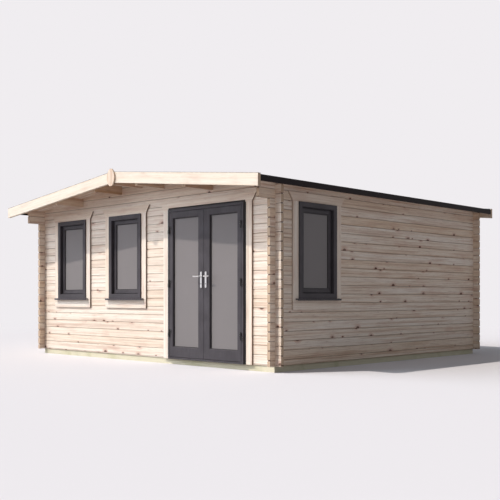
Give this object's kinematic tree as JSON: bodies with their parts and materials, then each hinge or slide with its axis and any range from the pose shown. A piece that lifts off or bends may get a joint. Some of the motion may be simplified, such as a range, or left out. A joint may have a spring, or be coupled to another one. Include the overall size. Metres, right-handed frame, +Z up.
{
  "type": "log cabin with glazed double doors",
  "caption": "Single-room garden log cabin with a low apex roof, glazed double doors that open outwards and tall windows",
  "frame": {"origin": "on the ground, at the middle of the overall box", "axes": "+Z up, the gable front faces -Y, +X is to the right seen from the front"},
  "size_m": [5.324, 5.3086, 2.5648],
  "materials": {
    "timber": "planed spruce",
    "treated_timber": "pressure treated",
    "roof_felt": "mineral felt",
    "eaves_trim": "matt",
    "grey_pvc": "grained foil",
    "glass": "clear",
    "handle_metal": "satin",
    "hinge_black": "satin"
  },
  "bodies": {
    "cabin": {"front_wall": "timber", "back_wall": "timber", "left_wall": "timber", "right_wall": "timber", "ridge_purlin": "timber", "side_purlins": "timber", "left_roof_boards": "timber", "right_roof_boards": "timber", "front_left_bargeboard": "timber", "front_right_bargeboard": "timber", "back_left_bargeboard": "timber", "back_right_bargeboard": "timber", "gable_finials": "timber", "door_trim": "timber", "floorboards": "timber", "left_window_trim": "timber", "centre_window_trim": "timber", "side_window_trim": "timber", "base_bearers": "treated_timber", "floor_joists": "treated_timber", "left_roof_felt": "roof_felt", "right_roof_felt": "roof_felt", "eaves_trims": "eaves_trim", "door_frame": "grey_pvc", "door_threshold": "grey_pvc", "left_window_frame": "grey_pvc", "left_window_sash": "grey_pvc", "left_window_cill": "grey_pvc", "centre_window_frame": "grey_pvc", "centre_window_sash": "grey_pvc", "centre_window_cill": "grey_pvc", "side_window_frame": "grey_pvc", "side_window_sash": "grey_pvc", "side_window_cill": "grey_pvc", "left_window_glass": "glass", "centre_window_glass": "glass", "side_window_glass": "glass", "door_frame_hinges": "hinge_black"},
    "left_door": {"left_door_leaf": "grey_pvc", "left_door_glass": "glass", "left_door_hinges": "hinge_black", "left_door_plates": "handle_metal"},
    "left_lever": {"left_door_lever": "handle_metal"},
    "right_door": {"right_door_leaf": "grey_pvc", "right_door_glass": "glass", "right_door_hinges": "hinge_black", "right_door_plates": "handle_metal"},
    "right_lever": {"right_door_lever": "handle_metal"}
  },
  "joints": [
    {"name": "left_door_hinge", "type": "hinge", "parent": "cabin", "child": "left_door", "pos_m": [0.6385, -2.192, 1.051], "axis": [0, 0, -1], "range_deg": [0, 105]},
    {"name": "left_lever_turn", "type": "hinge", "parent": "left_door", "child": "left_lever", "pos_m": [1.253, -2.18, 1.135], "axis": [0, -1, 0], "range_deg": [0, 40], "stiffness_Nm_per_rad": 1},
    {"name": "right_door_hinge", "type": "hinge", "parent": "cabin", "child": "right_door", "pos_m": [1.9535, -2.192, 1.051], "axis": [0, 0, 1], "range_deg": [0, 105]},
    {"name": "right_lever_turn", "type": "hinge", "parent": "right_door", "child": "right_lever", "pos_m": [1.339, -2.18, 1.135], "axis": [0, 1, 0], "range_deg": [0, 40], "stiffness_Nm_per_rad": 1}
  ]
}
